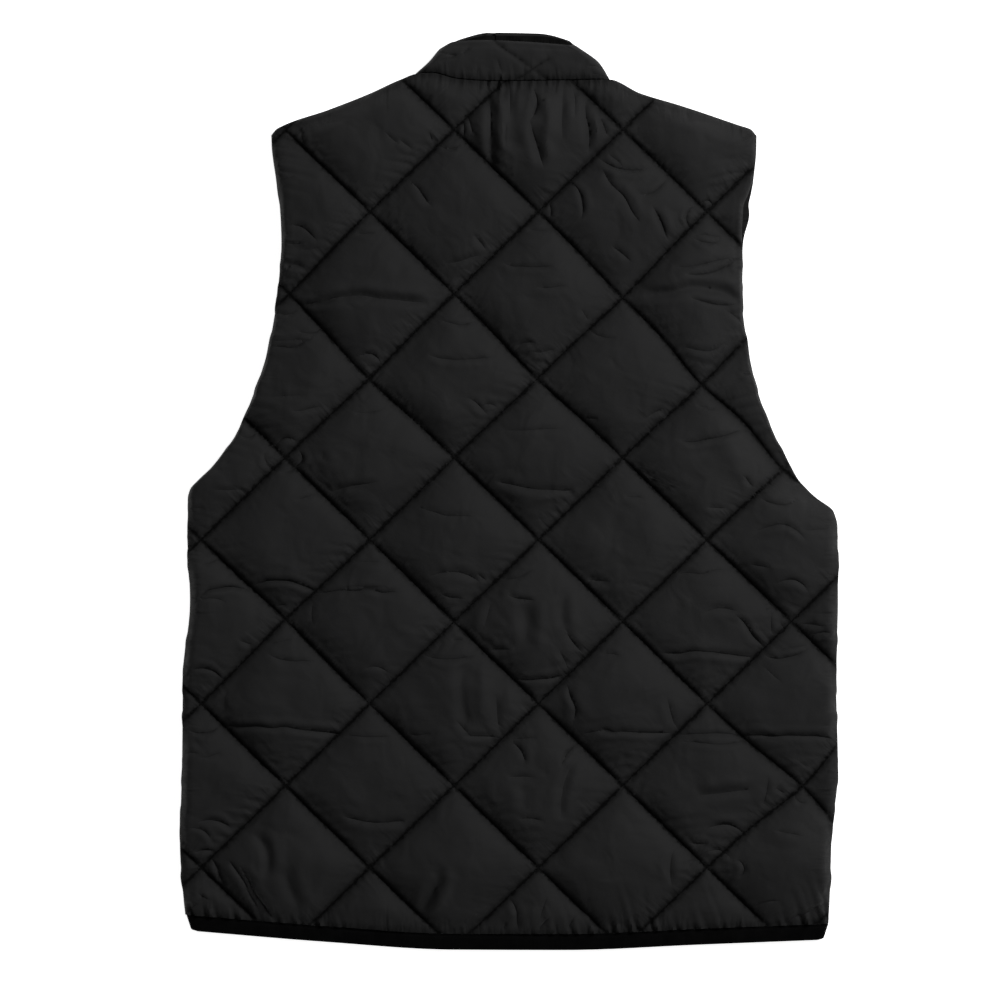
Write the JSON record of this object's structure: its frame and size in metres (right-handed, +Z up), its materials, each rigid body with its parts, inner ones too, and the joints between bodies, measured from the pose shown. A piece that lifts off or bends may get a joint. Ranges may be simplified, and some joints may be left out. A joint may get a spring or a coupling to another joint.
{
  "type": "quilted vest",
  "caption": "Padded vest quilted in diamonds, with a stand collar and a knit hem binding, laid flat on its front with the back showing.",
  "frame": {"origin": "on the surface that the vest lies on, below the middle of its outline", "axes": "+Y from the hem to the collar, +Z up out of the surface through the back, +X to the right as the back is seen"},
  "size_m": [0.5357, 0.7478, 0.0276],
  "materials": {
    "shell": "black nylon taffeta with a soft satin sheen, quilted over padding",
    "facing": "matte black brushed knit",
    "binding": "matte black elastic knit binding",
    "studs": "black lacquered metal, half gloss"
  },
  "bodies": {
    "root": {"back": "shell", "front_left": "shell", "front_right": "shell", "collar": "shell", "inner_collar": "facing", "hem_binding": "binding", "stud_cap_1": "studs", "stud_cap_2": "studs", "stud_cap_3": "studs", "stud_cap_4": "studs", "stud_cap_5": "studs", "stud_body_1": "studs", "stud_body_2": "studs", "stud_body_3": "studs", "stud_body_4": "studs", "stud_body_5": "studs"}
  },
  "joints": []
}
